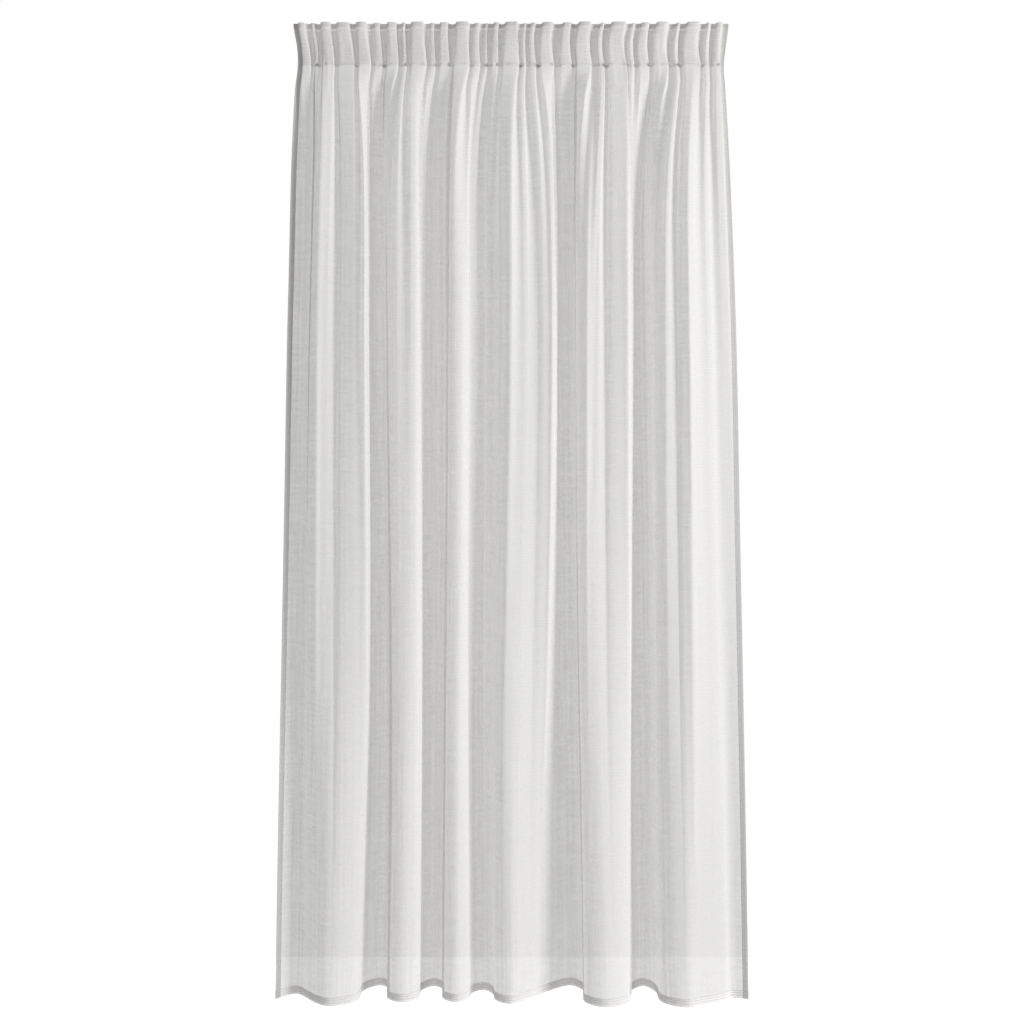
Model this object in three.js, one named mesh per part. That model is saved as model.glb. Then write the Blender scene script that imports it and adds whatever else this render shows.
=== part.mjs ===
import * as THREE from "three";

// A sheer curtain panel, hung by a gathered heading. Millimetres, +Z up, the viewer at -Y.
// The origin is the middle of the top edge, where the panel hangs.

// Hung size and flat size
const HEIGHT = 2450;
const FLAT_WIDTH = 1750; // the same at every height: the cloth only bends
const SIDE_HEM = 14; // turned in twice
const BOTTOM_HEM = 20; // turned up twice
const TOP_TURNING = 17; // turned over to the back, down to the tape

// Thickness of the cloth, of its turned hems, and of the tape behind it
const CLOTH = 1.2;
const HEM = 2;
const HEM_STEP = 1; // height over which the extra layers of the bottom hem end
const TAPE = 1;
const CLEARANCE = 0.3; // between the cloth's back and the tape

// Heading: the tape lies between two rows of stitching
const UPPER_STITCHING = 17; // below the top edge
const LOWER_STITCHING = 105;
const TAPE_MIDDLE = 60;

// Side edges of the hung panel, measured from its middle line, by drop below the top edge.
// It is drawn in at the lower stitching and spreads towards the floor.
const OUTLINE = [
  { drop: 0, left: -551, right: 546 },
  { drop: 60, left: -543, right: 540 },
  { drop: 105, left: -540, right: 534 },
  { drop: 160, left: -547, right: 538 },
  { drop: 260, left: -554, right: 545 },
  { drop: 640, left: -566, right: 563 },
  { drop: 1350, left: -578, right: 578 },
  { drop: 2450, left: -593, right: 593 },
];

// Small pleats of the heading, from the left: where each flat front starts and ends along the lower
// stitching, measured from the left edge, how far it stands forward, and how far it leans sideways
// towards the top edge.
const PLEATS = [
  { start: 11, end: 35, depth: 14, lean: -2 },
  { start: 42, end: 55, depth: 12, lean: 0 },
  { start: 62, end: 95, depth: 19, lean: 2 },
  { start: 101, end: 146, depth: 15, lean: 0 },
  { start: 152, end: 187, depth: 20, lean: -1 },
  { start: 194, end: 217, depth: 11, lean: 1 },
  { start: 224, end: 256, depth: 17, lean: 4 },
  { start: 263, end: 278, depth: 15, lean: 3 },
  { start: 285, end: 326, depth: 20, lean: 1 },
  { start: 333, end: 350, depth: 10, lean: 2 },
  { start: 357, end: 385, depth: 15, lean: 2 },
  { start: 392, end: 435, depth: 21, lean: 4 },
  { start: 442, end: 461, depth: 11, lean: 2 },
  { start: 468, end: 481, depth: 9, lean: 2 },
  { start: 488, end: 508, depth: 16, lean: 3 },
  { start: 515, end: 558, depth: 20, lean: 2 },
  { start: 565, end: 578, depth: 10, lean: 0 },
  { start: 585, end: 603, depth: 14, lean: -2 },
  { start: 610, end: 646, depth: 18, lean: 2 },
  { start: 662, end: 693, depth: 14, lean: 1 },
  { start: 700, end: 741, depth: 21, lean: 2 },
  { start: 758, end: 774, depth: 14, lean: 0 },
  { start: 781, end: 829, depth: 20, lean: 2 },
  { start: 836, end: 851, depth: 10, lean: 2 },
  { start: 858, end: 887, depth: 15, lean: 2 },
  { start: 895, end: 935, depth: 20, lean: 4 },
  { start: 947, end: 963, depth: 14, lean: 2 },
  { start: 970, end: 1013, depth: 20, lean: 4 },
  { start: 1022, end: 1038, depth: 14, lean: 4 },
  { start: 1045, end: 1066, depth: 16, lean: 3 },
];
const PLEATED_WIDTH = 1074;
const PLEAT_WALL_RUN = 2; // sideways, of a pleat's wall on its way forward
const PLEAT_TAPER = 0.1; // of its width, that each side of a pleat draws in towards the top edge
const SIDE_EDGE_DEPTH = 2; // how far the side edges stand forward in the heading

// How much of the small pleats is left below the heading, by drop below the top edge.
const PLEAT_FADE = [
  { drop: 105, share: 1 },
  { drop: 200, share: 0.8 },
  { drop: 320, share: 0.55 },
  { drop: 480, share: 0.33 },
  { drop: 720, share: 0.17 },
  { drop: 1080, share: 0.07 },
  { drop: 1560, share: 0.03 },
  { drop: 2450, share: 0 },
];

// Main folds, from the left. Each has the trough before it, its left wall, its crest and its right wall.
// Places are measured from the left edge and depths towards the viewer. A wall's run is how far it moves
// sideways on its way forward. The first row of folds hangs below the fading pleats, and the second, with
// some of them run together, at the hem.
const MIDDLE_FOLDS = {
  start: { place: 0, depth: 14 },
  folds: [
    { trough: 36, low: 0, left: 56, leftRun: 2, crest: 79, high: 50, right: 105, rightRun: 30 },
    { trough: 130, low: 40, left: 160, leftRun: 50, crest: 201, high: 72, right: 211, rightRun: 4 },
    { trough: 236, low: 4, left: 256, leftRun: 0, crest: 329, high: 74, right: 342, rightRun: 4 },
    { trough: 387, low: 6, left: 405, leftRun: 0, crest: 441, high: 72, right: 460, rightRun: 6 },
    { trough: 498, low: 18, left: 522, leftRun: 38, crest: 560, high: 70, right: 594, rightRun: 40 },
    { trough: 632, low: 58, left: 649, leftRun: 20, crest: 666, high: 70, right: 681, rightRun: 4 },
    { trough: 708, low: -6, left: 724, leftRun: 0, crest: 743, high: 83, right: 764, rightRun: 22 },
    { trough: 792, low: 75, left: 816, leftRun: 34, crest: 848, high: 90, right: 866, rightRun: 5 },
    { trough: 900, low: 2, left: 916, leftRun: 4, crest: 942, high: 72, right: 958, rightRun: 20 },
    { trough: 970, low: 70, left: 983, leftRun: 18, crest: 1001, high: 86, right: 1038, rightRun: 44 },
  ],
  dip: { place: 1078, depth: 52 },
  end: { place: 1131, depth: 45 },
};
const HEM_FOLDS = {
  start: { place: 0, depth: 64 },
  folds: [
    { trough: 47, low: 39, left: 88, leftRun: 34, crest: 142, high: 97, right: 211, rightRun: 10 },
    { trough: 256, low: 0, left: 280, leftRun: 0, crest: 318, high: 80, right: 361, rightRun: 6 },
    { trough: 395, low: 4, left: 419, leftRun: 0, crest: 453, high: 80, right: 488, rightRun: 10 },
    { trough: 520, low: 23, left: 548, leftRun: 10, crest: 590, high: 88, right: 664, rightRun: 60 },
    { trough: 745, low: 2, left: 774, leftRun: 0, crest: 825, high: 105, right: 892, rightRun: 6 },
    { trough: 930, low: 6, left: 961, leftRun: 10, crest: 1025, high: 106, right: 1095, rightRun: 62 },
  ],
  dip: { place: 1144, depth: 64 },
  end: { place: 1186, depth: 68 },
};
const WALL_FOOT = 0.25; // of a fold's height, where its wall grows steep
const WALL_HEAD = 0.75; // and where it eases off

// How far the middle folds have turned into the hem's, by drop below the top edge.
const HEM_SHARE = [
  { drop: 105, share: 0 },
  { drop: 720, share: 0 },
  { drop: 1080, share: 0.13 },
  { drop: 1560, share: 0.42 },
  { drop: 2040, share: 0.8 },
  { drop: 2450, share: 1 },
];

// Points of a worked-out line, this far apart along the cloth
const STEP = 2;
const STEPS = FLAT_WIDTH / STEP;
const SIDE_HEM_STEPS = SIDE_HEM / STEP;
const CURVE_DIVISIONS = 4000;

// Facets of the sheet: a column of corners wherever the cloth has turned or run this far, and a row at
// each of these drops below the heading
const FACET_TURN = THREE.MathUtils.degToRad(44);
const FACET_LENGTH = 30;
const ROW_DROPS = [200, 320, 480, 720, 1080, 1560, 2040];

const CLOTH_MATERIAL = new THREE.MeshStandardMaterial({ color: 0xdcdbd9, roughness: 0.9, metalness: 0 });
const TAPE_MATERIAL = new THREE.MeshStandardMaterial({ color: 0xd2d0cc, roughness: 0.9, metalness: 0 });

// Value of a table's column at a drop, in proportion between the rows above and below it.
function atDrop(table, column, drop) {
  const next = Math.max(1, table.findIndex((row) => row.drop >= drop));
  const [above, below] = [table[next - 1], table[next]];
  const share = (drop - above.drop) / (below.drop - above.drop);
  return THREE.MathUtils.lerp(above[column], below[column], share);
}

// Smooth curve through points [place, depth].
function smoothCurve(points) {
  const curve = new THREE.CatmullRomCurve3(points.map(([x, y]) => new THREE.Vector3(x, y, 0)));
  curve.arcLengthDivisions = CURVE_DIVISIONS;
  return curve;
}

// Finds the value between low and high at which a rising function reaches its target, by halving.
function solve(rising, target, low, high) {
  for (let halving = 0; halving < 40; halving += 1) {
    const middle = (low + high) / 2;
    if (rising(middle) < target) low = middle;
    else high = middle;
  }
  return (low + high) / 2;
}

// Direction of each step of cloth along a line whose depths are scaled until it takes up the flat width.
function stepDirections(pointsAt) {
  const lengthAt = (scale) => smoothCurve(pointsAt(scale)).getLength();
  const scale = solve(lengthAt, FLAT_WIDTH, 0.2, 3);
  const line = smoothCurve(pointsAt(scale)).getSpacedPoints(STEPS);
  return line.slice(1).map((p, i) => Math.atan2(p.y - line[i].y, p.x - line[i].x));
}

// Corners of the heading's pleats, with a share of each pleat's own lean and taper.
function pleatPoints(scale, leaning) {
  const points = [[0, SIDE_EDGE_DEPTH]];
  for (const { start, end, depth, lean } of PLEATS) {
    const drawnIn = PLEAT_TAPER * (end - start);
    const from = start + leaning * (lean + drawnIn);
    const to = end + leaning * (lean - drawnIn);
    points.push([from, 0]);
    points.push([from + PLEAT_WALL_RUN, depth * scale]);
    points.push([to - PLEAT_WALL_RUN, depth * scale]);
    points.push([to, 0]);
  }
  points.push([PLEATED_WIDTH, SIDE_EDGE_DEPTH]);
  return points;
}

// Turning points of a row of main folds, from side edge to side edge.
function foldPoints(scale, { start, folds, dip, end }) {
  const { lerp } = THREE.MathUtils;
  const points = [[start.place, start.depth]];
  folds.forEach(({ trough, low, left, leftRun, crest, high, right, rightRun }, i) => {
    const lowAfter = i + 1 < folds.length ? folds[i + 1].low : dip.depth;
    points.push([trough, low]);
    points.push([left - leftRun / 2, lerp(low, high, WALL_FOOT)]);
    points.push([left + leftRun / 2, lerp(low, high, WALL_HEAD)]);
    points.push([crest, high]);
    points.push([right - rightRun / 2, lerp(lowAfter, high, WALL_HEAD)]);
    points.push([right + rightRun / 2, lerp(lowAfter, high, WALL_FOOT)]);
  });
  points.push([dip.place, dip.depth]);
  points.push([end.place, end.depth]);
  return points.map(([place, depth]) => [place, depth * scale]);
}

const uprightPleats = stepDirections((scale) => pleatPoints(scale, 0));
const leaningPleats = stepDirections((scale) => pleatPoints(scale, 1));
const middleFolds = stepDirections((scale) => foldPoints(scale, MIDDLE_FOLDS));
const hemFolds = stepDirections((scale) => foldPoints(scale, HEM_FOLDS));

// Direction of each step of cloth at a drop, with the pleats and the main folds at the given strengths.
function clothDirections(drop, pleats, folds) {
  const { lerp } = THREE.MathUtils;
  const leaning = Math.max(0, 1 - drop / LOWER_STITCHING);
  const hemShare = drop <= LOWER_STITCHING ? 0 : atDrop(HEM_SHARE, "share", drop);
  return middleFolds.map((middle, i) => {
    const pleat = lerp(uprightPleats[i], leaningPleats[i], leaning);
    return pleats * pleat + folds * lerp(middle, hemFolds[i], hemShare);
  });
}

// Directions of the cloth at a drop. The stitched heading holds only the pleats, and below it the main
// folds deepen as the pleats fade. Their strength is whatever it takes for the whole flat width to hang
// between the two side edges.
function hungDirections(drop) {
  const width = atDrop(OUTLINE, "right", drop) - atDrop(OUTLINE, "left", drop);
  const drawnIn = (line) => -STEP * line.reduce((sum, angle) => sum + Math.cos(angle), 0);
  if (drop <= LOWER_STITCHING) {
    const pleats = solve((strength) => drawnIn(clothDirections(drop, strength, 0)), -width, 0.8, 1.1);
    return clothDirections(drop, pleats, 0);
  }
  const pleats = atDrop(PLEAT_FADE, "share", drop);
  const folds = solve((strength) => drawnIn(clothDirections(drop, pleats, strength)), -width, 0, 1.3);
  return clothDirections(drop, pleats, folds);
}

// Line of the cloth at a drop, seen from above, with its two side edges level.
function clothLine(drop) {
  const line = [new THREE.Vector2(0, 0)];
  for (const angle of hungDirections(drop)) {
    const from = line[line.length - 1];
    line.push(new THREE.Vector2(from.x + STEP * Math.cos(angle), from.y - STEP * Math.sin(angle)));
  }
  const turn = line[line.length - 1].angle();
  line.forEach((p) => p.rotateAround(new THREE.Vector2(0, 0), -turn));
  const middle = line.reduce((sum, p) => sum + p.y, 0) / line.length;
  line.forEach((p) => p.add(new THREE.Vector2(atDrop(OUTLINE, "left", drop), -middle)));
  return line;
}

// Columns of the sheet, as step numbers from the left edge: closer where the cloth bends, and one on
// each side of the place where a side hem's extra layers end.
function bendingColumns() {
  const turned = (line, i) => Math.abs(line[i] - line[i - 1]);
  const columns = [0, SIDE_HEM_STEPS, SIDE_HEM_STEPS + 1];
  const lastColumns = [STEPS - SIDE_HEM_STEPS - 1, STEPS - SIDE_HEM_STEPS, STEPS];
  let turn = 0;
  for (let i = SIDE_HEM_STEPS + 2; i < lastColumns[0]; i += 1) {
    turn += Math.max(turned(uprightPleats, i), turned(middleFolds, i), turned(hemFolds, i));
    const run = (i - columns[columns.length - 1]) * STEP;
    if (turn > FACET_TURN || run >= FACET_LENGTH) {
      columns.push(i);
      turn = 0;
    }
  }
  return [...columns, ...lastColumns];
}

// Corners of the line at a drop, each with the direction that keeps an offset sheet even in thickness.
function corners(drop, columns) {
  const line = clothLine(drop);
  const points = columns.map((i) => line[i]);
  const across = points.slice(1).map((p, i) => p.clone().sub(points[i]).normalize());
  const forward = across.map((run) => new THREE.Vector2(run.y, -run.x));
  return points.map((point, i) => {
    const before = forward[Math.max(0, i - 1)];
    const after = forward[Math.min(forward.length - 1, i)];
    const normal = before.clone().add(after).normalize();
    return { point, normal: normal.divideScalar(normal.dot(after)) };
  });
}

// How far the cloth's back lies behind its middle line. Turned hems stand out at the back.
function backOffset(column, drop) {
  const fromSide = Math.min(column, STEPS - column);
  const inHem = fromSide <= SIDE_HEM_STEPS || drop <= TOP_TURNING || drop >= HEIGHT - BOTTOM_HEM;
  return inHem ? HEM - CLOTH / 2 : CLOTH / 2;
}

// Closed sheet over a grid of drops and columns, between two offsets from the cloth's middle line.
function sheet(drops, columns, frontOffset, rearOffset) {
  const positions = [];
  const lines = drops.map((drop) => corners(drop, columns));
  for (const offset of [frontOffset, rearOffset]) {
    lines.forEach((line, row) => {
      line.forEach(({ point, normal }, i) => {
        const by = offset(columns[i], drops[row]);
        positions.push(point.x + by * normal.x, point.y + by * normal.y, -drops[row]);
      });
    });
  }
  const wide = columns.length;
  const rear = drops.length * wide;
  const faces = [];
  const quad = (a, b, c, d) => faces.push(a, b, c, a, c, d);
  for (let row = 0; row + 1 < drops.length; row += 1) {
    for (let i = 0; i + 1 < wide; i += 1) {
      const a = row * wide + i;
      quad(a + wide, a + wide + 1, a + 1, a);
      quad(rear + a + 1, rear + a + wide + 1, rear + a + wide, rear + a);
    }
    const left = row * wide;
    const right = left + wide - 1;
    quad(rear + left, rear + left + wide, left + wide, left);
    quad(right, right + wide, rear + right + wide, rear + right);
  }
  for (let i = 0; i + 1 < wide; i += 1) {
    const bottom = rear - wide + i;
    quad(i, i + 1, rear + i + 1, rear + i);
    quad(rear + bottom, rear + bottom + 1, bottom + 1, bottom);
  }
  const geometry = new THREE.BufferGeometry();
  geometry.setAttribute("position", new THREE.Float32BufferAttribute(positions, 3));
  geometry.setIndex(faces);
  geometry.computeVertexNormals();
  return geometry;
}

const columns = bendingColumns();

// The sheer cloth: one piece, with its hems and its turned-over top.
function panelCloth() {
  const bottomHem = HEIGHT - BOTTOM_HEM;
  const heading = [0, UPPER_STITCHING, TAPE_MIDDLE, LOWER_STITCHING];
  const drops = [...heading, ...ROW_DROPS, bottomHem - HEM_STEP, bottomHem, HEIGHT];
  const front = () => CLOTH / 2;
  const rear = (column, drop) => -backOffset(column, drop);
  const cloth = new THREE.Mesh(sheet(drops, columns, front, rear), CLOTH_MATERIAL);
  cloth.name = "panel_cloth";
  return cloth;
}

// The gathering tape, sewn across the back of the heading and gathered with it.
function headingTape() {
  const drops = [UPPER_STITCHING, TAPE_MIDDLE, LOWER_STITCHING];
  const covered = columns.slice(1, -1);
  const front = (column, drop) => -backOffset(column, drop) - CLEARANCE;
  const rear = (column, drop) => front(column, drop) - TAPE;
  const tape = new THREE.Mesh(sheet(drops, covered, front, rear), TAPE_MATERIAL);
  tape.name = "heading_tape";
  return tape;
}

const panel = new THREE.Group();
panel.add(panelCloth(), headingTape());

export default panel;
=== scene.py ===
import math

import bmesh
import bpy
import numpy as np
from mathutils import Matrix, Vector


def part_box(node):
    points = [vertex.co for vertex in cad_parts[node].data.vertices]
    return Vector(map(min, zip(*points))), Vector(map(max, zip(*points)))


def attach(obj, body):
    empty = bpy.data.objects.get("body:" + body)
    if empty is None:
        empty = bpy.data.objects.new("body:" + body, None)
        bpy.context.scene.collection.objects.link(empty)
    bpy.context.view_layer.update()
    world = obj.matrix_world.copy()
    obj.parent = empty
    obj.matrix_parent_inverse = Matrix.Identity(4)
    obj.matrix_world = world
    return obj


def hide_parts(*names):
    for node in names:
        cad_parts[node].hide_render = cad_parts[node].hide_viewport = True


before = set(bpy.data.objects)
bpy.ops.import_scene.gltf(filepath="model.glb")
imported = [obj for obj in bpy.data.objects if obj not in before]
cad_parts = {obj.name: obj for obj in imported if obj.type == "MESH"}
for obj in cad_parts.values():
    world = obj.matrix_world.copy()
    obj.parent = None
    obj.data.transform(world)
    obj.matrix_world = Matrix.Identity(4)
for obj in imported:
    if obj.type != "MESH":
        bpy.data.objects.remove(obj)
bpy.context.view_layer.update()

# Sheer cloth
# One rectangle of light plain-weave voile with uneven yarns, about half as wide again as it hangs. Its
# sides, bottom and top are turned in twice and sewn, and its heading is drawn up into small pleats that
# fade downwards into ten folds and then six deep ones at the hem.
DROP = -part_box("panel_cloth")[0].z
FLAT_WIDTH = 1.75
SIDE_HEM = 0.014
BOTTOM_HEM = 0.02
TOP_HEM = 0.012
INNER_TURN = 0.7  # of a hem's depth
HEM_ROUND = 0.0016  # past this the cloth of a hem is flat again
LAYER_GAP = 0.0004
UPPER_STITCHING = 0.017
LOWER_STITCHING = 0.105
OUTLINE = [
    dict(drop=0.0, left=-0.551, right=0.546),
    dict(drop=0.06, left=-0.543, right=0.54),
    dict(drop=0.105, left=-0.54, right=0.534),
    dict(drop=0.16, left=-0.547, right=0.538),
    dict(drop=0.26, left=-0.554, right=0.545),
    dict(drop=0.64, left=-0.566, right=0.563),
    dict(drop=1.35, left=-0.578, right=0.578),
    dict(drop=2.45, left=-0.593, right=0.593),
]
PLEATS = [
    dict(start=0.011, end=0.035, depth=0.014, lean=-0.002),
    dict(start=0.042, end=0.055, depth=0.012, lean=0.0),
    dict(start=0.062, end=0.095, depth=0.019, lean=0.002),
    dict(start=0.101, end=0.146, depth=0.015, lean=0.0),
    dict(start=0.152, end=0.187, depth=0.02, lean=-0.001),
    dict(start=0.194, end=0.217, depth=0.011, lean=0.001),
    dict(start=0.224, end=0.256, depth=0.017, lean=0.004),
    dict(start=0.263, end=0.278, depth=0.015, lean=0.003),
    dict(start=0.285, end=0.326, depth=0.02, lean=0.001),
    dict(start=0.333, end=0.35, depth=0.01, lean=0.002),
    dict(start=0.357, end=0.385, depth=0.015, lean=0.002),
    dict(start=0.392, end=0.435, depth=0.021, lean=0.004),
    dict(start=0.442, end=0.461, depth=0.011, lean=0.002),
    dict(start=0.468, end=0.481, depth=0.009, lean=0.002),
    dict(start=0.488, end=0.508, depth=0.016, lean=0.003),
    dict(start=0.515, end=0.558, depth=0.02, lean=0.002),
    dict(start=0.565, end=0.578, depth=0.01, lean=0.0),
    dict(start=0.585, end=0.603, depth=0.014, lean=-0.002),
    dict(start=0.61, end=0.646, depth=0.018, lean=-0.001),
    dict(start=0.662, end=0.693, depth=0.014, lean=-0.002),
    dict(start=0.7, end=0.741, depth=0.021, lean=-0.002),
    dict(start=0.758, end=0.774, depth=0.014, lean=-0.003),
    dict(start=0.781, end=0.829, depth=0.02, lean=-0.003),
    dict(start=0.836, end=0.851, depth=0.01, lean=-0.004),
    dict(start=0.858, end=0.887, depth=0.015, lean=-0.004),
    dict(start=0.895, end=0.935, depth=0.02, lean=-0.005),
    dict(start=0.947, end=0.963, depth=0.014, lean=-0.005),
    dict(start=0.97, end=1.013, depth=0.02, lean=-0.006),
    dict(start=1.022, end=1.038, depth=0.014, lean=-0.006),
    dict(start=1.045, end=1.066, depth=0.016, lean=-0.006),
]
PLEATED_WIDTH = 1.074
PLEAT_WALL_RUN = 0.002
PLEAT_FLAT_SHARE = 0.56  # of a pleat's width that lies flat across its front
PLEAT_SHOULDER = 0.94  # of a pleat's depth, where its wall turns into its front
PLEAT_TAPER = 0.1
PLEAT_ROUNDING = 0.009  # of the pleats' corners at the top edge, where nothing holds them
ROUNDED_TO = 0.03
SIDE_EDGE_DEPTH = 0.002
PLEAT_FADE = [
    dict(drop=0.105, share=1.0),
    dict(drop=0.2, share=0.8),
    dict(drop=0.32, share=0.55),
    dict(drop=0.48, share=0.33),
    dict(drop=0.72, share=0.17),
    dict(drop=1.08, share=0.07),
    dict(drop=1.56, share=0.03),
    dict(drop=2.45, share=0.0),
]
# A fold starts at its dip, goes up to its top and down again. These are places across the panel, and low
# and high are how far forward its dip and its top stand.
MIDDLE_FOLDS = [
    dict(dip=0.036, low=0.0, up=0.056, up_run=0.002, top=0.079, high=0.05, down=0.105, down_run=0.03),
    dict(dip=0.13, low=0.04, up=0.16, up_run=0.05, top=0.201, high=0.072, down=0.211, down_run=0.004),
    dict(dip=0.236, low=0.004, up=0.256, up_run=0.0, top=0.329, high=0.074, down=0.342, down_run=0.004),
    dict(dip=0.387, low=0.006, up=0.405, up_run=0.0, top=0.441, high=0.072, down=0.46, down_run=0.006),
    dict(dip=0.498, low=0.018, up=0.522, up_run=0.038, top=0.56, high=0.07, down=0.594, down_run=0.04),
    dict(dip=0.632, low=0.058, up=0.649, up_run=0.02, top=0.666, high=0.07, down=0.681, down_run=0.004),
    dict(dip=0.708, low=-0.006, up=0.724, up_run=0.0, top=0.743, high=0.083, down=0.764, down_run=0.022),
    dict(dip=0.792, low=0.075, up=0.816, up_run=0.034, top=0.848, high=0.09, down=0.866, down_run=0.005),
    dict(dip=0.9, low=0.002, up=0.916, up_run=0.004, top=0.942, high=0.072, down=0.958, down_run=0.02),
    dict(dip=0.97, low=0.07, up=0.983, up_run=0.018, top=1.001, high=0.086, down=1.038, down_run=0.044),
]
MIDDLE_SIDES = dict(start=(0.0, 0.014), last_dip=(1.078, 0.052), end=(1.131, 0.045))
HEM_FOLDS = [
    dict(dip=0.047, low=0.039, up=0.088, up_run=0.034, top=0.142, high=0.097, down=0.211, down_run=0.01),
    dict(dip=0.256, low=0.0, up=0.28, up_run=0.0, top=0.318, high=0.08, down=0.361, down_run=0.006),
    dict(dip=0.395, low=0.004, up=0.419, up_run=0.0, top=0.453, high=0.08, down=0.488, down_run=0.01),
    dict(dip=0.52, low=0.023, up=0.548, up_run=0.01, top=0.59, high=0.088, down=0.664, down_run=0.06),
    dict(dip=0.745, low=0.002, up=0.774, up_run=0.0, top=0.825, high=0.105, down=0.892, down_run=0.006),
    dict(dip=0.93, low=0.006, up=0.961, up_run=0.01, top=1.025, high=0.106, down=1.095, down_run=0.062),
]
HEM_SIDES = dict(start=(0.0, 0.064), last_dip=(1.144, 0.064), end=(1.186, 0.068))
HEM_SHARE = [
    dict(drop=0.105, share=0.0),
    dict(drop=0.72, share=0.0),
    dict(drop=1.08, share=0.13),
    dict(drop=1.56, share=0.42),
    dict(drop=2.04, share=0.8),
    dict(drop=2.45, share=1.0),
]
WALL_FOOT = 0.25  # shares of a fold's depth between which its wall runs
WALL_HEAD = 0.75
CREASES = [
    dict(top=0.0, foot=0.1, at_top=-0.496, at_foot=-0.495, width=0.003, height=0.0016),
    dict(top=0.0, foot=0.11, at_top=-0.484, at_foot=-0.486, width=0.004, height=-0.003),
    dict(top=0.03, foot=0.2, at_top=-0.471, at_foot=-0.462, width=0.003, height=0.002),
    dict(top=0.01, foot=0.13, at_top=-0.436, at_foot=-0.43, width=0.005, height=0.0018),
    dict(top=0.01, foot=0.08, at_top=-0.405, at_foot=-0.405, width=0.004, height=0.001),
    dict(top=0.0, foot=0.18, at_top=-0.388, at_foot=-0.387, width=0.003, height=-0.002),
    dict(top=0.0, foot=0.22, at_top=-0.36, at_foot=-0.349, width=0.003, height=0.002),
    dict(top=0.015, foot=0.12, at_top=-0.319, at_foot=-0.32, width=0.003, height=-0.0025),
    dict(top=0.0, foot=0.09, at_top=-0.31, at_foot=-0.302, width=0.003, height=0.0018),
    dict(top=0.0, foot=0.11, at_top=-0.273, at_foot=-0.272, width=0.0025, height=0.002),
    dict(top=0.0, foot=0.13, at_top=-0.265, at_foot=-0.266, width=0.0025, height=-0.003),
    dict(top=0.0, foot=0.21, at_top=-0.226, at_foot=-0.212, width=0.003, height=0.0022),
    dict(top=0.0, foot=0.12, at_top=-0.178, at_foot=-0.178, width=0.003, height=0.002),
    dict(top=0.0, foot=0.2, at_top=-0.151, at_foot=-0.154, width=0.003, height=-0.0025),
    dict(top=0.0, foot=0.2, at_top=-0.108, at_foot=-0.103, width=0.003, height=0.002),
    dict(top=0.02, foot=0.11, at_top=-0.086, at_foot=-0.084, width=0.003, height=-0.0012),
    dict(top=0.0, foot=0.12, at_top=-0.056, at_foot=-0.054, width=0.0025, height=0.0015),
    dict(top=0.0, foot=0.1, at_top=-0.031, at_foot=-0.041, width=0.003, height=0.002),
    dict(top=0.0, foot=0.13, at_top=-0.027, at_foot=-0.028, width=0.003, height=-0.003),
    dict(top=0.0, foot=0.24, at_top=0.01, at_foot=0.018, width=0.003, height=0.0025),
    dict(top=0.01, foot=0.13, at_top=0.057, at_foot=0.067, width=0.003, height=-0.0025),
    dict(top=0.01, foot=0.09, at_top=0.078, at_foot=0.08, width=0.004, height=0.0015),
    dict(top=0.05, foot=0.22, at_top=0.101, at_foot=0.108, width=0.0025, height=0.002),
    dict(top=0.0, foot=0.1, at_top=0.133, at_foot=0.134, width=0.003, height=0.0015),
    dict(top=0.0, foot=0.2, at_top=0.16, at_foot=0.159, width=0.003, height=-0.003),
    dict(top=0.0, foot=0.21, at_top=0.197, at_foot=0.199, width=0.003, height=0.002),
    dict(top=0.01, foot=0.11, at_top=0.223, at_foot=0.222, width=0.004, height=0.0012),
    dict(top=0.015, foot=0.13, at_top=0.241, at_foot=0.239, width=0.003, height=-0.0025),
    dict(top=0.01, foot=0.19, at_top=0.25, at_foot=0.259, width=0.004, height=0.0015),
    dict(top=0.0, foot=0.2, at_top=0.285, at_foot=0.289, width=0.003, height=0.002),
    dict(top=0.0, foot=0.1, at_top=0.324, at_foot=0.32, width=0.004, height=0.0015),
    dict(top=0.01, foot=0.14, at_top=0.349, at_foot=0.354, width=0.003, height=-0.0025),
    dict(top=0.01, foot=0.19, at_top=0.366, at_foot=0.363, width=0.004, height=0.0015),
    dict(top=0.015, foot=0.13, at_top=0.42, at_foot=0.422, width=0.003, height=-0.0025),
    dict(top=0.0, foot=0.13, at_top=0.436, at_foot=0.435, width=0.003, height=0.0015),
    dict(top=0.0, foot=0.22, at_top=0.47, at_foot=0.47, width=0.0025, height=0.0022),
    dict(top=0.015, foot=0.2, at_top=0.484, at_foot=0.494, width=0.004, height=0.001),
    dict(top=0.0, foot=0.18, at_top=0.526, at_foot=0.522, width=0.003, height=0.0015),
    dict(top=0.8, foot=1.7, at_top=-0.485, at_foot=-0.488, width=0.005, height=0.0016),
    dict(top=0.9, foot=1.5, at_top=-0.011, at_foot=-0.034, width=0.003, height=-0.0014),
    dict(top=0.5, foot=1.2, at_top=0.21, at_foot=0.2, width=0.006, height=-0.0016),
    dict(top=1.2, foot=2.1, at_top=0.44, at_foot=0.452, width=0.005, height=0.0014),
]
CREASE_END = 0.045  # a crease dies away over this drop, at its foot and where it starts below the top edge
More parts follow.
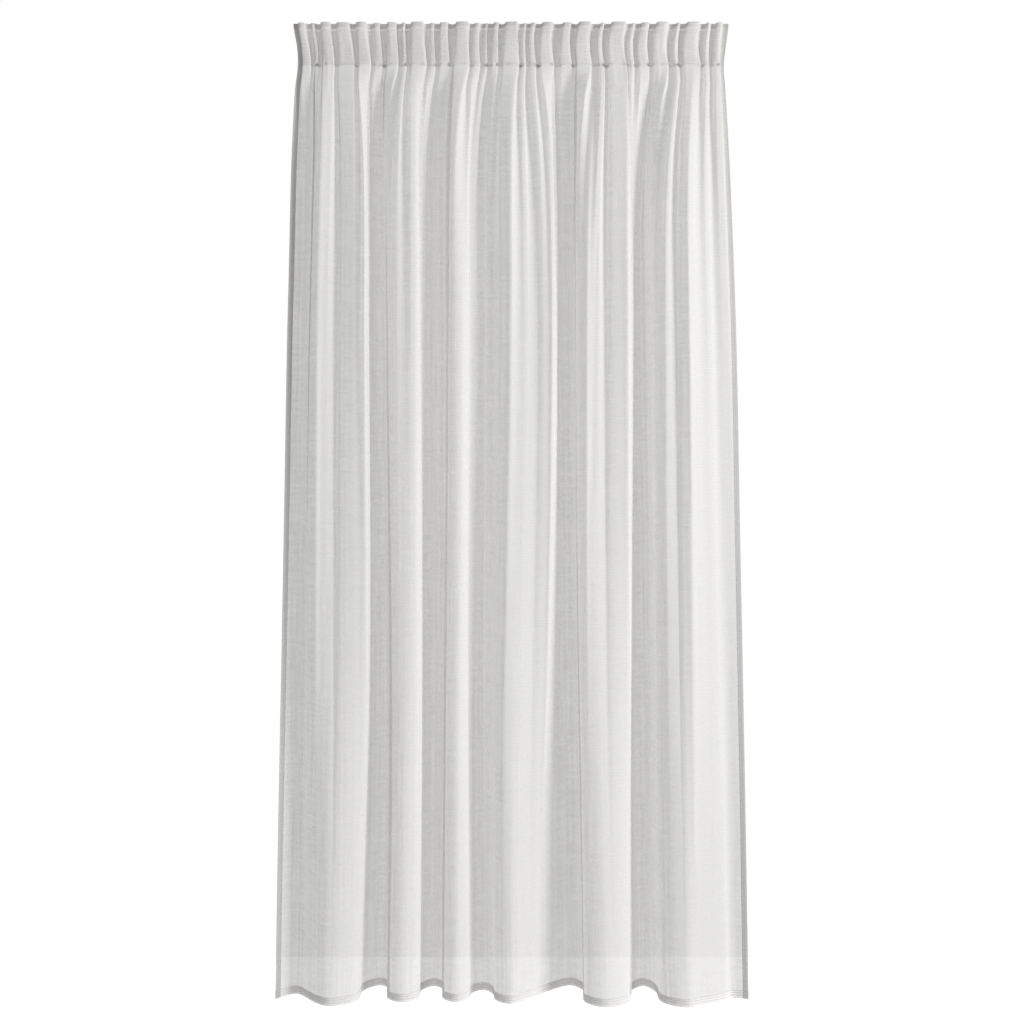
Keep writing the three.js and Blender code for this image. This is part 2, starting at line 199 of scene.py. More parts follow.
BUNCHES = [
    dict(at=-0.489, width=0.007, strength=0.9),
    dict(at=-0.47, width=0.004, strength=0.4),
    dict(at=-0.433, width=0.006, strength=0.25),
    dict(at=-0.392, width=0.004, strength=0.5),
    dict(at=-0.336, width=0.007, strength=0.4),
    dict(at=-0.322, width=0.003, strength=1.0),
    dict(at=-0.311, width=0.004, strength=0.5),
    dict(at=-0.269, width=0.004, strength=1.0),
    dict(at=-0.226, width=0.006, strength=0.35),
    dict(at=-0.196, width=0.005, strength=0.5),
    dict(at=-0.157, width=0.005, strength=0.9),
    dict(at=-0.1, width=0.005, strength=0.25),
    dict(at=-0.064, width=0.007, strength=0.7),
    dict(at=-0.036, width=0.004, strength=0.9),
    dict(at=-0.013, width=0.007, strength=0.4),
    dict(at=0.021, width=0.004, strength=0.9),
    dict(at=0.05, width=0.006, strength=0.4),
    dict(at=0.066, width=0.004, strength=1.0),
    dict(at=0.1, width=0.006, strength=0.5),
    dict(at=0.154, width=0.004, strength=0.6),
    dict(at=0.228, width=0.006, strength=0.6),
    dict(at=0.238, width=0.004, strength=0.7),
    dict(at=0.279, width=0.005, strength=0.3),
    dict(at=0.31, width=0.006, strength=0.4),
    dict(at=0.345, width=0.007, strength=0.9),
    dict(at=0.372, width=0.005, strength=0.3),
    dict(at=0.414, width=0.006, strength=0.8),
    dict(at=0.424, width=0.003, strength=0.6),
    dict(at=0.48, width=0.006, strength=0.5),
    dict(at=0.516, width=0.004, strength=0.8),
]
BUNCH_HEIGHT = 0.0045
BUNCH_DEPTH = 0.005
BUNCH_SPREAD = 1.5  # of the flat cloth that a bunch takes up, against its width as it hangs
SEAM_PULL = 0.2  # how far a row of stitches bunches the cloth all along it
SEAM_HEIGHT = 0.0025
LINE_STEP = 0.001
POINTS_PER_SPAN = 60  # of a smooth line, between two of the points that it goes through
HALVINGS = 34
DEPTH_SCALES = (0.2, 3)  # the limits that the halving starts from
PLEAT_STRENGTHS = (0.8, 1.1)
FOLD_STRENGTHS = (0, 1.3)
FACET_TURN = math.radians(20)
FACET_LENGTH = 0.0031
ROW_SPACING = [
    dict(to=0.026, step=0.004),
    dict(to=0.09, step=0.008),
    dict(to=0.122, step=0.002),
    dict(to=0.42, step=0.01),
    dict(to=2.42, step=0.03),
]


def between(table, column, drop):
    """A table's column at a drop, on a smooth curve through its rows."""
    drops = [row["drop"] for row in table]
    values = [row[column] for row in table]
    slopes = np.gradient(values, drops)
    slopes[0] = 0.0
    i = min(max(int(np.searchsorted(drops, drop)) - 1, 0), len(drops) - 2)
    span = drops[i + 1] - drops[i]
    t = min(max((drop - drops[i]) / span, 0.0), 1.0)
    return (
        values[i] * (1 + 2 * t) * (1 - t) ** 2
        + slopes[i] * span * t * (1 - t) ** 2
        + values[i + 1] * t * t * (3 - 2 * t)
        + slopes[i + 1] * span * t * t * (t - 1)
    )


def smooth_line(points):
    """Dense points of the smooth curve through some points that bends no more than they ask."""
    points = np.array(points)
    first = 2 * points[0] - points[1]
    last = 2 * points[-1] - points[-2]
    padded = np.vstack([first, points, last])
    t = np.linspace(0, 1, POINTS_PER_SPAN, endpoint=False)[:, None]
    pieces = []
    for before, start, end, after in zip(padded, padded[1:], padded[2:], padded[3:]):
        gaps = [np.sqrt(np.linalg.norm(b - a)) for a, b in ((before, start), (start, end), (end, after))]
        leave = (start - before) / gaps[0] - (end - before) / (gaps[0] + gaps[1]) + (end - start) / gaps[1]
        reach = (end - start) / gaps[1] - (after - start) / (gaps[1] + gaps[2]) + (after - end) / gaps[2]
        pieces.append(
            start * (1 + 2 * t) * (1 - t) ** 2
            + leave * gaps[1] * t * (1 - t) ** 2
            + end * t * t * (3 - 2 * t)
            + reach * gaps[1] * t * t * (t - 1)
        )
    return np.vstack([*pieces, points[-1:]])


def run_along(line):
    """Distance along a line at each of its points."""
    return np.concatenate([[0], np.cumsum(np.linalg.norm(np.diff(line, axis=0), axis=1))])


def solve(rising, target, low, high):
    """The value at which a rising function reaches its target, by halving."""
    for _ in range(HALVINGS):
        middle = (low + high) / 2
        if rising(middle) < target:
            low = middle
        else:
            high = middle
    return (low + high) / 2


def step_directions(points_at):
    """Direction of each step of cloth along a line whose depths take up the whole flat width."""
    scale = solve(lambda s: run_along(smooth_line(points_at(s)))[-1], FLAT_WIDTH, *DEPTH_SCALES)
    line = smooth_line(points_at(scale))
    run = run_along(line)
    even = np.linspace(0, run[-1], round(FLAT_WIDTH / LINE_STEP) + 1)
    steps = np.diff(np.column_stack([np.interp(even, run, line[:, i]) for i in (0, 1)]), axis=0)
    return np.arctan2(steps[:, 1], steps[:, 0])


def pleat_points(scale, leaning):
    """Corners of the heading's pleats, with a share of each pleat's own lean and taper."""
    points = [(0.0, SIDE_EDGE_DEPTH)]
    for pleat in PLEATS:
        drawn_in = PLEAT_TAPER * (pleat["end"] - pleat["start"])
        start = pleat["start"] + leaning * (pleat["lean"] + drawn_in)
        end = pleat["end"] + leaning * (pleat["lean"] - drawn_in)
        depth = pleat["depth"] * scale
        corner = (1 - PLEAT_FLAT_SHARE) / 2 * (end - start)
        points.append((start, 0.0))
        points.append((start + PLEAT_WALL_RUN, PLEAT_SHOULDER * depth))
        points.append((start + corner, depth))
        points.append((end - corner, depth))
        points.append((end - PLEAT_WALL_RUN, PLEAT_SHOULDER * depth))
        points.append((end, 0.0))
    points.append((PLEATED_WIDTH, SIDE_EDGE_DEPTH))
    return points


def fold_points(scale, folds, sides):
    """Turning points of a row of main folds, from side edge to side edge."""
    points = [sides["start"]]
    for fold, after in zip(folds, [f["low"] for f in folds[1:]] + [sides["last_dip"][1]]):
        low, high = fold["low"], fold["high"]
        points.append((fold["dip"], low))
        points.append((fold["up"] - fold["up_run"] / 2, low + WALL_FOOT * (high - low)))
        points.append((fold["up"] + fold["up_run"] / 2, low + WALL_HEAD * (high - low)))
        points.append((fold["top"], high))
        points.append((fold["down"] - fold["down_run"] / 2, after + WALL_HEAD * (high - after)))
        points.append((fold["down"] + fold["down_run"] / 2, after + WALL_FOOT * (high - after)))
    points += [sides["last_dip"], sides["end"]]
    return [(place, depth * scale) for place, depth in points]


def near(distance, width):
    """1 at no distance, falling softly to 0 past a width."""
    return np.exp(-((distance / width) ** 2))


def width_solved(directions_at, width, low, high):
    """The strength at which some steps of cloth hang just as wide as asked."""
    return solve(lambda s: -LINE_STEP * np.cos(directions_at(s)).sum(), -width, low, high)


upright_pleats = step_directions(lambda scale: pleat_points(scale, 0))
leaning_pleats = step_directions(lambda scale: pleat_points(scale, 1))
middle_folds = step_directions(lambda scale: fold_points(scale, MIDDLE_FOLDS, MIDDLE_SIDES))
hem_folds = step_directions(lambda scale: fold_points(scale, HEM_FOLDS, HEM_SIDES))
reach = 2 * PLEAT_ROUNDING
rounding = near(np.arange(-reach, reach + LINE_STEP / 2, LINE_STEP), PLEAT_ROUNDING)
rounding /= rounding.sum()


def hung_directions(drop):
    """Direction of each step of cloth at a drop, so that its whole width hangs between the side edges."""
    width = between(OUTLINE, "right", drop) - between(OUTLINE, "left", drop)
    leaning = max(0.0, 1 - drop / LOWER_STITCHING)
    pleats = upright_pleats + (leaning_pleats - upright_pleats) * leaning
    if drop <= LOWER_STITCHING:
        return pleats * width_solved(lambda s: s * pleats, width, *PLEAT_STRENGTHS)
    pleats = pleats * between(PLEAT_FADE, "share", drop)
    folds = middle_folds + (hem_folds - middle_folds) * between(HEM_SHARE, "share", drop)
    strength = width_solved(lambda s: pleats + s * folds, width, *FOLD_STRENGTHS)
    return pleats + strength * folds


def hung_line(drop):
    """Line of the cloth at a drop, seen from above, with its two side edges level."""
    angles = hung_directions(drop)
    steps = LINE_STEP * np.column_stack([np.cos(angles), -np.sin(angles)])
    line = np.vstack([[0, 0], np.cumsum(steps, axis=0)])
    turn = -math.atan2(line[-1, 1], line[-1, 0])
    line = line @ np.array([[math.cos(turn), math.sin(turn)], [-math.sin(turn), math.cos(turn)]])
    line[:, 0] += between(OUTLINE, "left", drop)
    line[:, 1] -= line[:, 1].mean()
    edges = len(rounding) // 2
    rounded = np.convolve(np.pad(line[:, 1], edges, "edge"), rounding, "valid")
    line[:, 1] += (rounded - line[:, 1]) * near(drop, ROUNDED_TO)
    return line


def place_at(across, drop):
    """Place on the flat cloth that hangs at a distance from the panel's middle, at a drop."""
    return LINE_STEP * int(np.argmin(np.abs(hung_line(drop)[:, 0] - across)))


crease_paths = [(place_at(c["at_top"], c["top"]), place_at(c["at_foot"], c["foot"])) for c in CREASES]
bunch_places = [place_at(bunch["at"], LOWER_STITCHING) for bunch in BUNCHES]


def creased(places, drop):
    """How far the creases push the cloth forward at some places, at a drop."""
    forward = np.zeros(len(places))
    for crease, (first, last) in zip(CREASES, crease_paths):
        if crease["top"] <= drop < crease["foot"]:
            along = (drop - crease["top"]) / (crease["foot"] - crease["top"])
            started = min(1.0, (drop - crease["top"]) / CREASE_END) if crease["top"] > 0 else 1.0
            ending = min(1.0, (crease["foot"] - drop) / CREASE_END)
            path = first + (last - first) * along
            forward += crease["height"] * started * ending * near(places - path, crease["width"])
    return forward


def bunched(places, drop):
    """How tightly the stitches bunch the cloth at some places, at a drop, from 0 to 1."""
    below = drop - LOWER_STITCHING
    bunching = np.full(len(places), SEAM_PULL * near(below, SEAM_HEIGHT))
    bunching += SEAM_PULL / 2 * near(drop - UPPER_STITCHING, SEAM_HEIGHT)
    for bunch, place in zip(BUNCHES, bunch_places):
        across = near(places - place, BUNCH_SPREAD * bunch["width"])
        bunching += bunch["strength"] * near(below, BUNCH_HEIGHT) * across
    return np.minimum(bunching, 1.0)


def bending_columns():
    """Places across the flat cloth between its side hems' folds, closer where it bends."""
    turns = np.max([np.abs(np.diff(line)) for line in (upright_pleats, middle_folds, hem_folds)], axis=0)
    places = [0]
    turn = 0.0
    for i, turned in enumerate(turns):
        turn += turned
        if turn > FACET_TURN or (i + 1 - places[-1]) * LINE_STEP >= FACET_LENGTH:
            places.append(i + 1)
            turn = 0.0
    places = np.array(places) * LINE_STEP
    return places[(places > 2 * HEM_ROUND) & (places < FLAT_WIDTH - 2 * HEM_ROUND)]


def hem_path(depth):
    """Distances from a hem's edge, and layers behind the face, from its raw edge round to the face."""
    raw_edge = depth * (1 - INNER_TURN)
    inside = [(raw_edge, 1.0), (depth - HEM_ROUND, 1.0), (depth - LAYER_GAP, 1.0)]
    turn = [(depth, 1.5), (depth - LAYER_GAP, 2.0), (depth - HEM_ROUND, 2.0)]
    fold = [(HEM_ROUND, 2.0), (LAYER_GAP, 2.0), (0.0, 1.0), (LAYER_GAP, 0.0), (HEM_ROUND, 0.0)]
    return inside + turn + fold


def spaced_rows():
    """Drops of the sheet's rows between its top and bottom hems' folds, closer in the heading."""
    drops = [2 * HEM_ROUND]
    for spacing in ROW_SPACING:
        while drops[-1] + spacing["step"] < spacing["to"]:
            drops.append(drops[-1] + spacing["step"])
    return drops + [DROP - BOTTOM_HEM]


def cloth_points(places, drops):
    """Points of the hung cloth over a grid. Places and drops are (value, layers behind the face)."""
    across = np.array([place for place, _ in places])
    layers = np.array([layers for _, layers in places])
    points = np.zeros((len(drops), len(places), 3))
    for row, (drop, behind) in enumerate(drops):
        line = hung_line(drop)
        evenly = np.linspace(0, FLAT_WIDTH, len(line))
        tangent = np.gradient(line, axis=0)
        tangent /= np.linalg.norm(tangent, axis=1)[:, None]
        x, y, tx, ty = (np.interp(across, evenly, part) for part in (*line.T, *tangent.T))
        back = LAYER_GAP * (behind + layers) - creased(across, drop) + BUNCH_DEPTH * bunched(across, drop)
        points[row] = np.column_stack([x - back * ty, y + back * tx, np.full(len(x), -drop)])
    return points


def new_piece(name, corners, faces):
    """A piece in the scene, from its corners and faces."""
    mesh = bpy.data.meshes.new(name)
    mesh.from_pydata(corners, [], faces)
    piece = bpy.data.objects.new(name, mesh)
    bpy.context.scene.collection.objects.link(piece)
    return piece


def cloth_sheet(name, places, drops):
    """An open sheet of cloth over a grid of places and drops, which knows where it is bunched."""
    points = cloth_points(places, drops)
    rows, wide = len(drops), len(places)
    corner = np.arange(rows * wide).reshape(rows, wide)
    faces = np.stack([corner[1:, :-1], corner[1:, 1:], corner[:-1, 1:], corner[:-1, :-1]], axis=-1)
    piece = new_piece(name, points.reshape(-1, 3).tolist(), faces.reshape(-1, 4).tolist())
    mesh = piece.data
    flat = np.array([[place, -drop] for drop, _ in drops for place, _ in places])
    uv = mesh.uv_layers.new(name="flat_cloth")
    uv.data.foreach_set("uv", flat[faces.reshape(-1)].ravel().astype(np.float32))
    across = np.array([place for place, _ in places])
    bunching = np.concatenate([bunched(across, drop) for drop, _ in drops])
    mesh.attributes.new("bunched", "FLOAT", "POINT").data.foreach_set("value", bunching.astype(np.float32))
    mesh.polygons.foreach_set("use_smooth", [True] * len(mesh.polygons))
    return piece


left_hem = hem_path(SIDE_HEM)
right_hem = [(FLAT_WIDTH - place, layers) for place, layers in reversed(left_hem)]
middle = [(place, 0.0) for place in bending_columns()]
top_hem = hem_path(TOP_HEM)
bottom_hem = [(DROP - place, layers) for place, layers in reversed(hem_path(BOTTOM_HEM))]
rows = top_hem + [(drop, 0.0) for drop in spaced_rows()] + bottom_hem
cloth = cloth_sheet("sheer_panel", left_hem + middle + right_hem, rows)


class Shade:
    """A node's output in a material, which adds further nodes as it is used in an expression."""

    def __init__(self, tree, socket):
        self.tree = tree
        self.socket = socket

    def node(self, kind, settings, sockets, output=0):
        """One output of a new node, after its settings and then its sockets are filled in."""
        made = self.tree.nodes.new(kind)
        for key, value in settings.items():
            setattr(made, key, value)
        for key, value in sockets.items():
            if isinstance(value, Shade):
                self.tree.links.new(value.socket, made.inputs[key])
            else:
                made.inputs[key].default_value = value
        return Shade(self.tree, made.outputs[output] if made.outputs else None)

    def math(self, operation, first, second):
        return self.node("ShaderNodeMath", {"operation": operation}, {0: first, 1: second})

    def __add__(self, other):
        return self.math("ADD", self, other)

    __radd__ = __add__

    def __mul__(self, other):
        return self.math("MULTIPLY", self, other)

    __rmul__ = __mul__

    def __sub__(self, other):
        return self.math("SUBTRACT", self, other)

    def __rsub__(self, other):
        return self.math("SUBTRACT", other, self)


def new_material(name):
    """An empty material, and a handle on its nodes."""
    material = bpy.data.materials.new(name)
    material.use_nodes = True
    material.node_tree.nodes.clear()
    return material, Shade(material.node_tree, None)


def blend(shade, share, first, second):
    """A colour between two, by the second one's share."""
    return shade.node("ShaderNodeMix", {"data_type": "RGBA"}, {"Factor": share, "A": first, "B": second}, 2)


def yarns(shade, width, length, along):
    """Noise drawn out along the warp or the weft, about 0.5 on average."""
    place = shade.node("ShaderNodeUVMap", {"uv_map": "flat_cloth"}, {})
    stretch = (1 / width, 1 / length, 1) if along == "warp" else (1 / length, 1 / width, 1)
    scaled = shade.node("ShaderNodeVectorMath", {"operation": "MULTIPLY"}, {0: place, 1: stretch})
    sockets = {"Vector": scaled, "Scale": 1.0, "Detail": 2.0}
    return shade.node("ShaderNodeTexNoise", {"noise_dimensions": "2D"}, sockets)


def over_and_under(shade, pitch):
    """A plain weave's yarns crossing over and under each other, from -1 to 1."""
    place = shade.node("ShaderNodeUVMap", {"uv_map": "flat_cloth"}, {})
    turned = shade.node("ShaderNodeVectorMath", {"operation": "SCALE"}, {0: place, "Scale": math.pi / pitch})
    waves = shade.node("ShaderNodeVectorMath", {"operation": "SINE"}, {0: turned})
    parts = [shade.node("ShaderNodeSeparateXYZ", {}, {0: waves}, axis) for axis in ("X", "Y")]
    return parts[0] * parts[1]


def open_weave(shade, tone, relief, roughness, glow, let_through, cover):
    """Finishes a material as open cloth: yarns that let light through, and clear gaps between them."""
    sockets = {"Base Color": tone, "Roughness": roughness, "Normal": relief, "Specular IOR Level": 0.2}
    lit = shade.node("ShaderNodeBsdfPrincipled", {}, sockets)
    lit_through = shade.node("ShaderNodeBsdfTranslucent", {}, {"Color": glow})
    yarn = shade.node("ShaderNodeMixShader", {}, {0: let_through, 1: lit, 2: lit_through})
    gap = shade.node("ShaderNodeBsdfTransparent", {}, {})
    woven = shade.node("ShaderNodeMixShader", {}, {0: cover, 1: gap, 2: yarn})
    shade.node("ShaderNodeOutputMaterial", {}, {"Surface": woven})


def stripe(value, at, width):
    """1 where a value is at a line, falling to 0 on both sides of it."""
    apart = value.node("ShaderNodeMath", {"operation": "ABSOLUTE"}, {0: value - at})
    return value.node("ShaderNodeClamp", {}, {0: 1.0 - apart * (1 / width)})


YARN_PITCH = 0.0006
YARN_ROUGHNESS = 0.85
YARN_RELIEF = 0.0003
WARP_STREAK_SHARE = 0.7
WEFT_STREAK_SHARE = 0.3
COVER = 0.72  # how much of a single layer is yarn, and what its unevenness and bunches change
WEAVE_COVER = 0.02
SLUB_COVER = 0.22
STREAK_COVER = 0.22
BUNCH_COVER = 0.25
LIGHT_THROUGH = 0.45  # how much of the yarns' tone is light from behind, and what hems and bunches stop
BOTTOM_HEM_STOPS = 0.22
SIDE_HEM_STOPS = 0.25
BUNCH_STOPS = 0.35
HEM_PAINT_SHOWS = 0.9  # how far each of these painted colours covers the yarns' own: painted light on the bottom hem, painted shade on the side hems, on lines across the bottom hem and where the cloth is bunched
HEM_SHADE_LINE_SHOWS = 0.5
BUNCH_SHADE_SHOWS = 0.85
YARN_GREY = (0.845, 0.838, 0.824, 1.0)
YARN_WHITE = (0.925, 0.917, 0.9, 1.0)
# painted light: the bottom hem is coloured whiter to make up for the shade of its extra layers
PAINTED_LIGHT_HEM_WHITE = (0.97, 0.965, 0.96, 1.0)
# painted shade: the side hems are coloured darker where their extra layers stop the light from behind
SHADED_SIDE_HEM_GREY = (0.57, 0.565, 0.555, 1.0)
# painted shade: dark lines across the bottom hem, at its layers' edges and stitching
HEM_SHADE_LINE_GREY = (0.36, 0.355, 0.345, 1.0)
# painted shade: darker where the stitches bunch the cloth, at the bunches and along the rows of stitching
BUNCH_SHADE_GREY = (0.33, 0.325, 0.315, 1.0)
YARN_GLOW = (0.93, 0.925, 0.913, 1.0)
# heights above the foot of the painted shade lines across the bottom hem
HEM_SHADE_LINES = [
    dict(above_foot=0.0196, width=0.001),
    dict(above_foot=0.0142, width=0.0012),
    dict(above_foot=0.0075, width=0.0012),
]
material, shade = new_material("sheer_voile")
weave = over_and_under(shade, YARN_PITCH)
slubs = yarns(shade, width=0.0027, length=0.14, along="warp")
slubs += yarns(shade, width=0.0031, length=0.045, along="weft")
streaks = yarns(shade, width=0.007, length=1.4, along="warp") * WARP_STREAK_SHARE
streaks += yarns(shade, width=0.009, length=0.2, along="weft") * WEFT_STREAK_SHARE
bunching = shade.node("ShaderNodeAttribute", {"attribute_name": "bunched"}, {}, "Fac")
place = shade.node("ShaderNodeUVMap", {"uv_map": "flat_cloth"}, {})
across = shade.node("ShaderNodeSeparateXYZ", {}, {0: place}, "X")
from_middle = shade.node("ShaderNodeMath", {"operation": "ABSOLUTE"}, {0: across - FLAT_WIDTH / 2})
in_side_hem = shade.math("GREATER_THAN", from_middle, FLAT_WIDTH / 2 - SIDE_HEM)
from_foot = shade.node("ShaderNodeSeparateXYZ", {}, {0: place}, "Y") + DROP
in_bottom_hem = shade.math("LESS_THAN", from_foot, BOTTOM_HEM)
hem_shade_lines = sum(stripe(from_foot, line["above_foot"], line["width"]) for line in HEM_SHADE_LINES)
cover = COVER + weave * WEAVE_COVER + (slubs - 1.0) * SLUB_COVER + (streaks - 0.5) * STREAK_COVER
cover += bunching * BUNCH_COVER
tone = blend(shade, slubs * 0.5, YARN_GREY, YARN_WHITE)
# painted light: the bottom hem is coloured whiter to make up for the shade of its extra layers
tone = blend(shade, in_bottom_hem * HEM_PAINT_SHOWS, tone, PAINTED_LIGHT_HEM_WHITE)
# painted shade: the side hems are coloured darker where their extra layers stop the light from behind
tone = blend(shade, in_side_hem * HEM_PAINT_SHOWS, tone, SHADED_SIDE_HEM_GREY)
# painted shade: dark lines across the bottom hem, at its layers' edges and stitching
tone = blend(shade, hem_shade_lines * HEM_SHADE_LINE_SHOWS, tone, HEM_SHADE_LINE_GREY)
# painted shade: darker where the stitches bunch the cloth, at the bunches and along the rows of stitching
tone = blend(shade, bunching * BUNCH_SHADE_SHOWS, tone, BUNCH_SHADE_GREY)
height = slubs + weave * 0.1
relief = shade.node("ShaderNodeBump", {}, {"Height": height, "Distance": YARN_RELIEF, "Strength": 0.5})
let_through = LIGHT_THROUGH - in_bottom_hem * BOTTOM_HEM_STOPS - in_side_hem * SIDE_HEM_STOPS
let_through -= bunching * BUNCH_STOPS
open_weave(shade, tone, relief, YARN_ROUGHNESS, YARN_GLOW, let_through, cover)
cloth.data.materials.append(material)
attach(cloth, "root")
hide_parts("panel_cloth")

# Heading tape
# A light white gathering tape sewn flat across the back of the heading, between two rows of stitching,
# and drawn up into the same pleats. It is open enough that it hardly shows through the sheer cloth.
TAPE_SETBACK = 2.4  # of cloth layers, from the cloth's face to the tape
TAPE_THICKNESS = 1.2  # of cloth layers
TAPE_END = 0.006
TAPE_ROW = 0.008
TAPE_COVER = 0.1
TAPE_RIB_COVER = 0.12
TAPE_LIGHT_THROUGH = 0.45
TAPE_ROUGHNESS = 0.9
TAPE_GREY = (0.8, 0.795, 0.785, 1.0)
TAPE_WHITE = (0.92, 0.915, 0.905, 1.0)
TAPE_GLOW = (0.92, 0.92, 0.91, 1.0)
TAPE_DEPTH = LOWER_STITCHING - UPPER_STITCHING
tape_drops = np.linspace(UPPER_STITCHING, LOWER_STITCHING, round(TAPE_DEPTH / TAPE_ROW) + 1)
tape_places = [p for p, _ in middle if TAPE_END < p < FLAT_WIDTH - TAPE_END]
front = [(drop, TAPE_SETBACK) for drop in tape_drops]
back = [(drop, TAPE_SETBACK + TAPE_THICKNESS) for drop in reversed(tape_drops)]
tape = cloth_sheet("heading_tape_band", [(p, 0.0) for p in tape_places], front + back + front[:1])
closing = bmesh.new()
closing.from_mesh(tape.data)
bmesh.ops.remove_doubles(closing, verts=closing.verts, dist=1e-6)
bmesh.ops.holes_fill(closing, edges=closing.edges, sides=0)
bmesh.ops.recalc_face_normals(closing, faces=closing.faces)
closing.to_mesh(tape.data)
closing.free()

material, shade = new_material("tape_twill")
ribs = yarns(shade, width=0.0016, length=0.05, along="warp")
ribs += yarns(shade, width=0.0008, length=0.03, along="weft")
tone = blend(shade, ribs * 0.5, TAPE_GREY, TAPE_WHITE)
relief = shade.node("ShaderNodeBump", {}, {"Height": ribs, "Distance": 0.0004, "Strength": 0.8})
cover = TAPE_COVER + ribs * TAPE_RIB_COVER
open_weave(shade, tone, relief, TAPE_ROUGHNESS, TAPE_GLOW, TAPE_LIGHT_THROUGH, cover)
tape.data.materials.append(material)
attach(tape, "root")
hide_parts("heading_tape")

# Sewing thread
# White polyester thread in lockstitch, which shows on both sides: two rows across the heading, which sew
# on the tape and draw the cloth up, and one row along the inner edge of each hem.
STITCH = 0.0026
STITCH_GAP = 0.0007
THREAD = 0.00035
HEM_ALLOWANCE = 0.002  # from a hem's inner edge to its stitching
THREAD_LIFT = 0.3  # of a cloth layer, from the cloth or tape to the thread on it
THREAD_GREY = (0.78, 0.775, 0.765, 1.0)
THREAD_WHITE = (0.9, 0.895, 0.885, 1.0)


def stitches(ends, sideways):
    """Corners and faces of stitches between pairs of points, which stand out to the left of their run."""
    starts, stops = ends[0::2], ends[1::2]
    out = np.cross(stops - starts, sideways)
    out *= THREAD / np.linalg.norm(out, axis=1)[:, None]
    across = np.array(sideways) * THREAD / 2
    ring = [-across, -across / 2 + out, across / 2 + out, across]
    corners = np.stack([end + side for end in (starts, stops) for side in ring], axis=1)
    sides = [(0, 1, 5, 4), (1, 2, 6, 5), (2, 3, 7, 6), (3, 0, 4, 7), (3, 2, 1, 0), (4, 5, 6, 7)]
    first = 2 * len(ring) * np.arange(len(starts))[:, None, None]
    return corners.reshape(-1, 3), (first + np.array(sides)).reshape(-1, 4)


def stitch_ends(start, stop):
    """Distances along a row at which its stitches begin and end, in turn."""
    begins = np.arange(start, stop - STITCH, STITCH + STITCH_GAP)
    return np.column_stack([begins, begins + STITCH]).ravel()


FRONT_LAYER = -THREAD_LIFT
TAPE_BACK = TAPE_SETBACK + TAPE_THICKNESS + THREAD_LIFT
HEM_BACK = 2 + THREAD_LIFT
rows = [
    dict(drop=UPPER_STITCHING, back=TAPE_BACK),
    dict(drop=LOWER_STITCHING, back=TAPE_BACK),
    dict(drop=TOP_HEM - HEM_ALLOWANCE, back=HEM_BACK),
    dict(drop=DROP - BOTTOM_HEM + HEM_ALLOWANCE, back=HEM_BACK),
]
row_places = [(place, 0.0) for place in stitch_ends(HEM_ROUND, FLAT_WIDTH - HEM_ROUND)]
seams = []
for row in rows:
    front, back = cloth_points(row_places, [(row["drop"], FRONT_LAYER), (row["drop"], row["back"])])
    seams.append(stitches(front, (0.0, 0.0, 1.0)))
    seams.append(stitches(back[::-1], (0.0, 0.0, 1.0)))
hem_places = [SIDE_HEM - HEM_ALLOWANCE, FLAT_WIDTH - SIDE_HEM + HEM_ALLOWANCE]
columns = [(place, layer) for place in hem_places for layer in (FRONT_LAYER, HEM_BACK)]
side_points = cloth_points(columns, [(drop, 0.0) for drop in stitch_ends(HEM_ROUND, DROP - HEM_ROUND)])
for column in range(len(columns)):
    turned = -1 if column % 2 else 1
    seams.append(stitches(side_points[::turned, column], (1.0, 0.0, 0.0)))
firsts = np.cumsum([0] + [len(corners) for corners, _ in seams])
corners = np.vstack([corners for corners, _ in seams])
faces = np.vstack([faces + first for (_, faces), first in zip(seams, firsts)])
thread = new_piece("sewing_thread", corners.tolist(), faces.tolist())

material, shade = new_material("white_thread")
ply = shade.node("ShaderNodeTexNoise", {}, {"Scale": 900.0, "Detail": 1.0})
tone = blend(shade, ply, THREAD_GREY, THREAD_WHITE)
face = shade.node("ShaderNodeBsdfPrincipled", {}, {"Base Color": tone, "Roughness": 0.55})
shade.node("ShaderNodeOutputMaterial", {}, {"Surface": face})
thread.data.materials.append(material)
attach(thread, "root")

# Floor
# A white floor just below the hem, which isn't part of the panel. It glows instead of being lit, brighter
# for the camera than for the panel, and brightest in a painted pool of light behind and just under the
# panel.
FLOOR_GAP = 0.015
FLOOR_REACH = 6.0
FLOOR_BACK = 0.245
FLOOR_SEEN = 1.0
FLOOR_SEEN_UNDER = 1.19  # a painted pool of light behind and just under the panel
FLOOR_FADE = 0.9
FLOOR_LIGHT = 0.4
floor_z = -DROP - FLOOR_GAP
corners = [(x, y, floor_z) for y in (-FLOOR_REACH, FLOOR_BACK) for x in (-FLOOR_REACH, FLOOR_REACH)]
floor = new_piece("floor", corners, [(0, 1, 3, 2)])
material, shade = new_material("floor_white")
seen = shade.node("ShaderNodeLightPath", {}, {}, "Is Camera Ray")
position = shade.node("ShaderNodeNewGeometry", {}, {}, "Position")
forward = shade.node("ShaderNodeSeparateXYZ", {}, {0: position}, "Y")
under_panel = shade.node("ShaderNodeClamp", {}, {0: forward * (1 / FLOOR_FADE) + 1.0})
brightness = FLOOR_SEEN + under_panel * (FLOOR_SEEN_UNDER - FLOOR_SEEN) - FLOOR_LIGHT
bright = shade.node("ShaderNodeEmission", {}, {"Strength": FLOOR_LIGHT + seen * brightness})
shade.node("ShaderNodeOutputMaterial", {}, {"Surface": bright})
floor.data.materials.append(material)

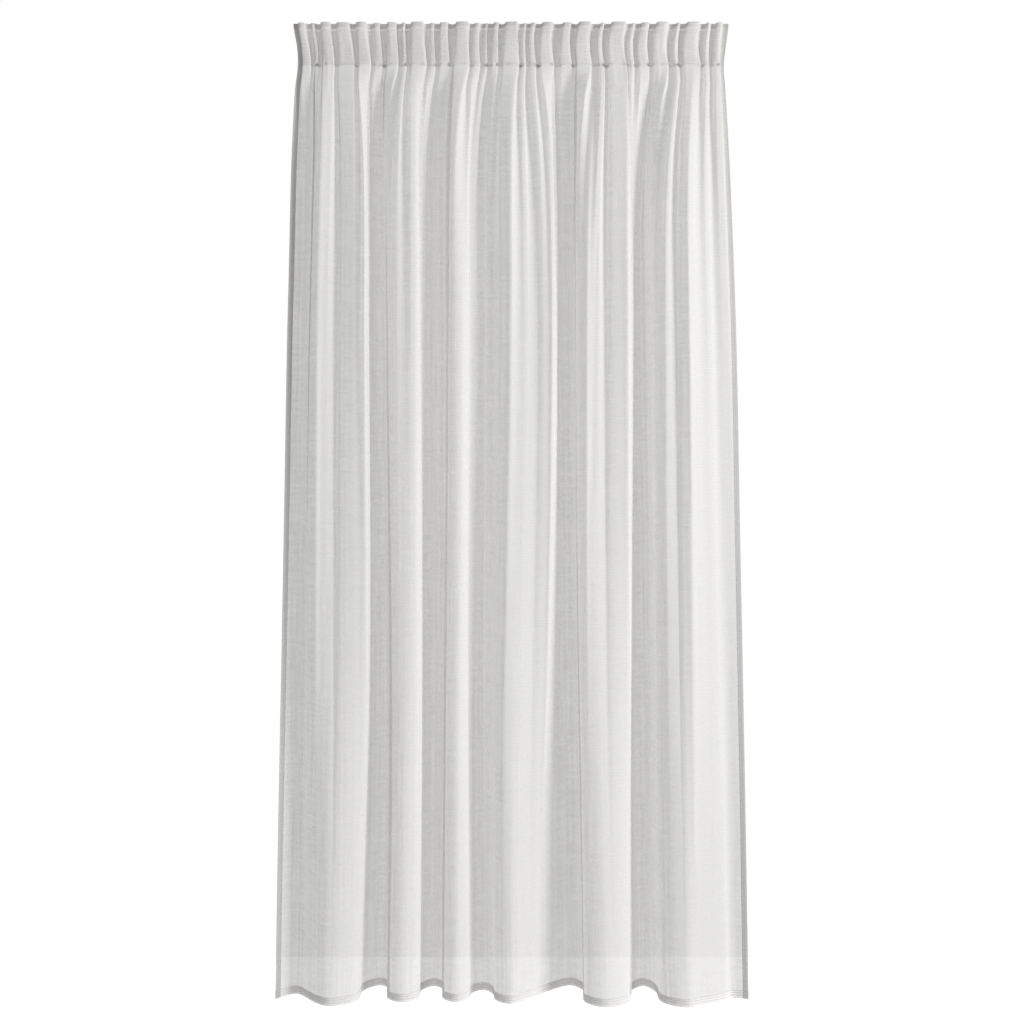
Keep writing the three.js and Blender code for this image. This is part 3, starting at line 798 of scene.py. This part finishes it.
# Light
# White studio surroundings, a soft light to the right and in front of the panel, and a larger, weaker one
# straight ahead of it.
WORLD_SEEN = 1.0
WORLD_LIGHT = 0.18
PANEL_MIDDLE = (0.0, 0.0, -DROP / 2)
world = bpy.data.worlds.new("white_room")
world.use_nodes = True
world.node_tree.nodes.clear()
shade = Shade(world.node_tree, None)
seen = shade.node("ShaderNodeLightPath", {}, {}, "Is Camera Ray")
strength = WORLD_LIGHT + seen * (WORLD_SEEN - WORLD_LIGHT)
surround = shade.node("ShaderNodeBackground", {}, {"Color": (1, 1, 1, 1), "Strength": strength})
shade.node("ShaderNodeOutputWorld", {}, {"Surface": surround})
bpy.context.scene.world = world


def soft_light(name, place, size, watts):
    """A square lamp that faces the middle of the panel."""
    lamp = bpy.data.lights.new(name, "AREA")
    lamp.shape = "SQUARE"
    lamp.size = size
    lamp.energy = watts
    lamp_object = bpy.data.objects.new(name, lamp)
    lamp_object.location = place
    lamp_object.rotation_euler = (Vector(PANEL_MIDDLE) - Vector(place)).to_track_quat("-Z", "Y").to_euler()
    bpy.context.scene.collection.objects.link(lamp_object)


soft_light("key", place=(4.6, -2.4, -0.6), size=1.6, watts=285)
soft_light("fill", place=(-0.8, -4.5, -0.9), size=3.0, watts=60)

# Camera
# Level, facing the panel from 2.8 m, and shifted down to take in the hem.
CAMERA_DISTANCE = 2.8
SENSOR_WIDTH = 36.0  # in millimetres, as the camera takes it
FRAME_WIDTH = 2.575
HORIZON = -1.024
FRAME_MIDDLE = -1.23
camera_data = bpy.data.cameras.new("camera")
camera_data.sensor_width = SENSOR_WIDTH
camera_data.lens = SENSOR_WIDTH * CAMERA_DISTANCE / FRAME_WIDTH
camera_data.shift_y = (FRAME_MIDDLE - HORIZON) / FRAME_WIDTH
camera = bpy.data.objects.new("camera", camera_data)
camera.location = (0.0, -CAMERA_DISTANCE, HORIZON)
camera.rotation_euler = (math.radians(90), 0.0, 0.0)
bpy.context.scene.collection.objects.link(camera)
bpy.context.scene.camera = camera
bpy.context.scene.view_settings.view_transform = "Standard"
